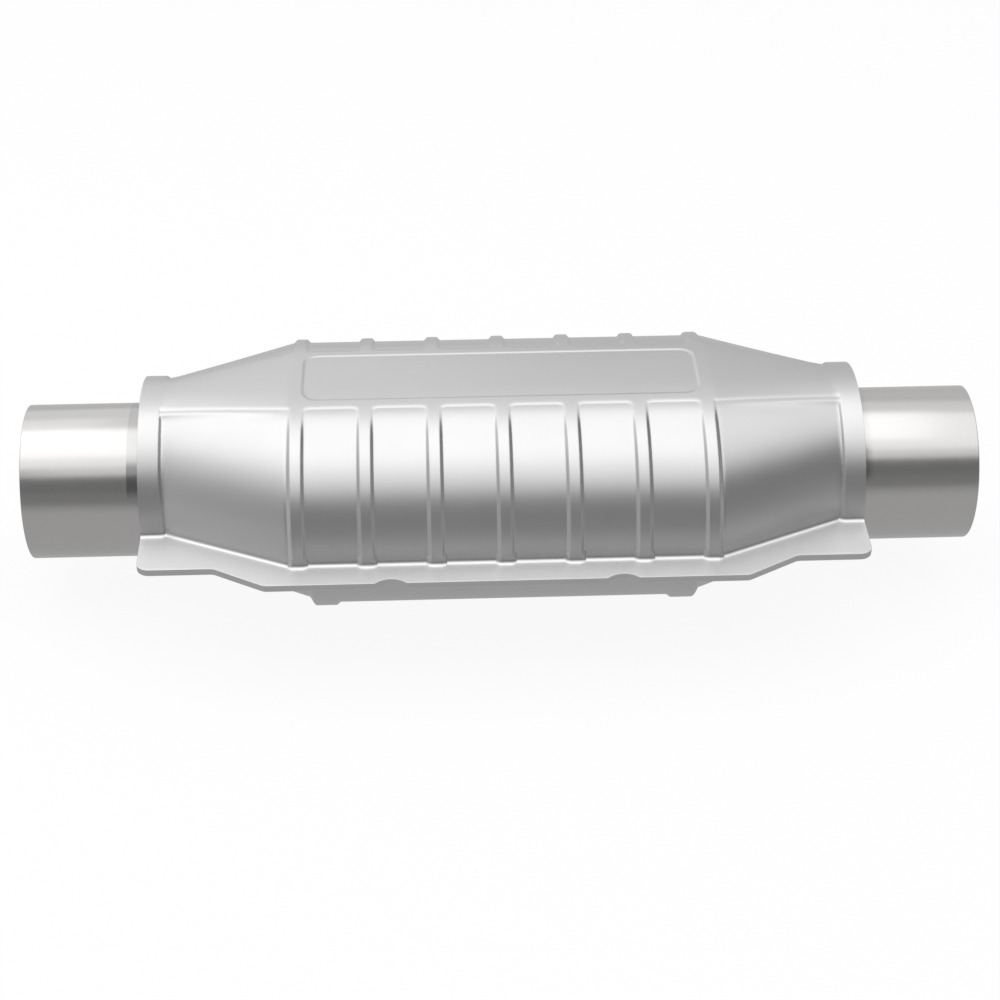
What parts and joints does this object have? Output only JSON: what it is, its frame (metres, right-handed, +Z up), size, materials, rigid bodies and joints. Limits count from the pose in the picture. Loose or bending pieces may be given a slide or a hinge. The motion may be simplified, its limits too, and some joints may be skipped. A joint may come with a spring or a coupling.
{
  "type": "catalytic converter",
  "caption": "Oval catalytic converter with a stamped, ribbed and flanged heat shield and a round pipe at each end.",
  "frame": {"origin": "on the pipe axis, halfway between the two pipe ends, in the plane of the shield's flanges", "axes": "+X along the gas flow from inlet to outlet, +Y across to the far flange, +Z up through the ribbed shield"},
  "size_m": [0.4064, 0.1624, 0.1016],
  "materials": {
    "shield_steel": "satin stamped stainless sheet",
    "pipe_steel": "drawn stainless tube, a little glossier",
    "weld": "rippled weld bead",
    "steel_mesh": "knitted stainless wire",
    "can_steel": "dull rolled stainless sheet",
    "ceramic": "washcoated cordierite honeycomb",
    "support_mat": "intumescent fibre mat",
    "seal_fibre": "fibre seal in wire mesh",
    "insulation": "ceramic fibre blanket"
  },
  "bodies": {
    "root": {"upper_shield": "shield_steel", "lower_shield": "shield_steel", "inlet_pipe": "pipe_steel", "outlet_pipe": "pipe_steel", "inlet_pipe_weld": "weld", "outlet_pipe_weld": "weld", "inlet_neck_ring": "steel_mesh", "outlet_neck_ring": "steel_mesh", "can_body": "can_steel", "inlet_cone": "can_steel", "outlet_cone": "can_steel", "inlet_cone_weld": "weld", "outlet_cone_weld": "weld", "inlet_liner": "can_steel", "outlet_liner": "can_steel", "front_substrate": "ceramic", "rear_substrate": "ceramic", "front_mat": "support_mat", "rear_mat": "support_mat", "front_inlet_seal": "seal_fibre", "front_outlet_seal": "seal_fibre", "rear_inlet_seal": "seal_fibre", "rear_outlet_seal": "seal_fibre", "spacer_ring": "steel_mesh", "upper_insulation": "insulation", "lower_insulation": "insulation"}
  },
  "joints": []
}
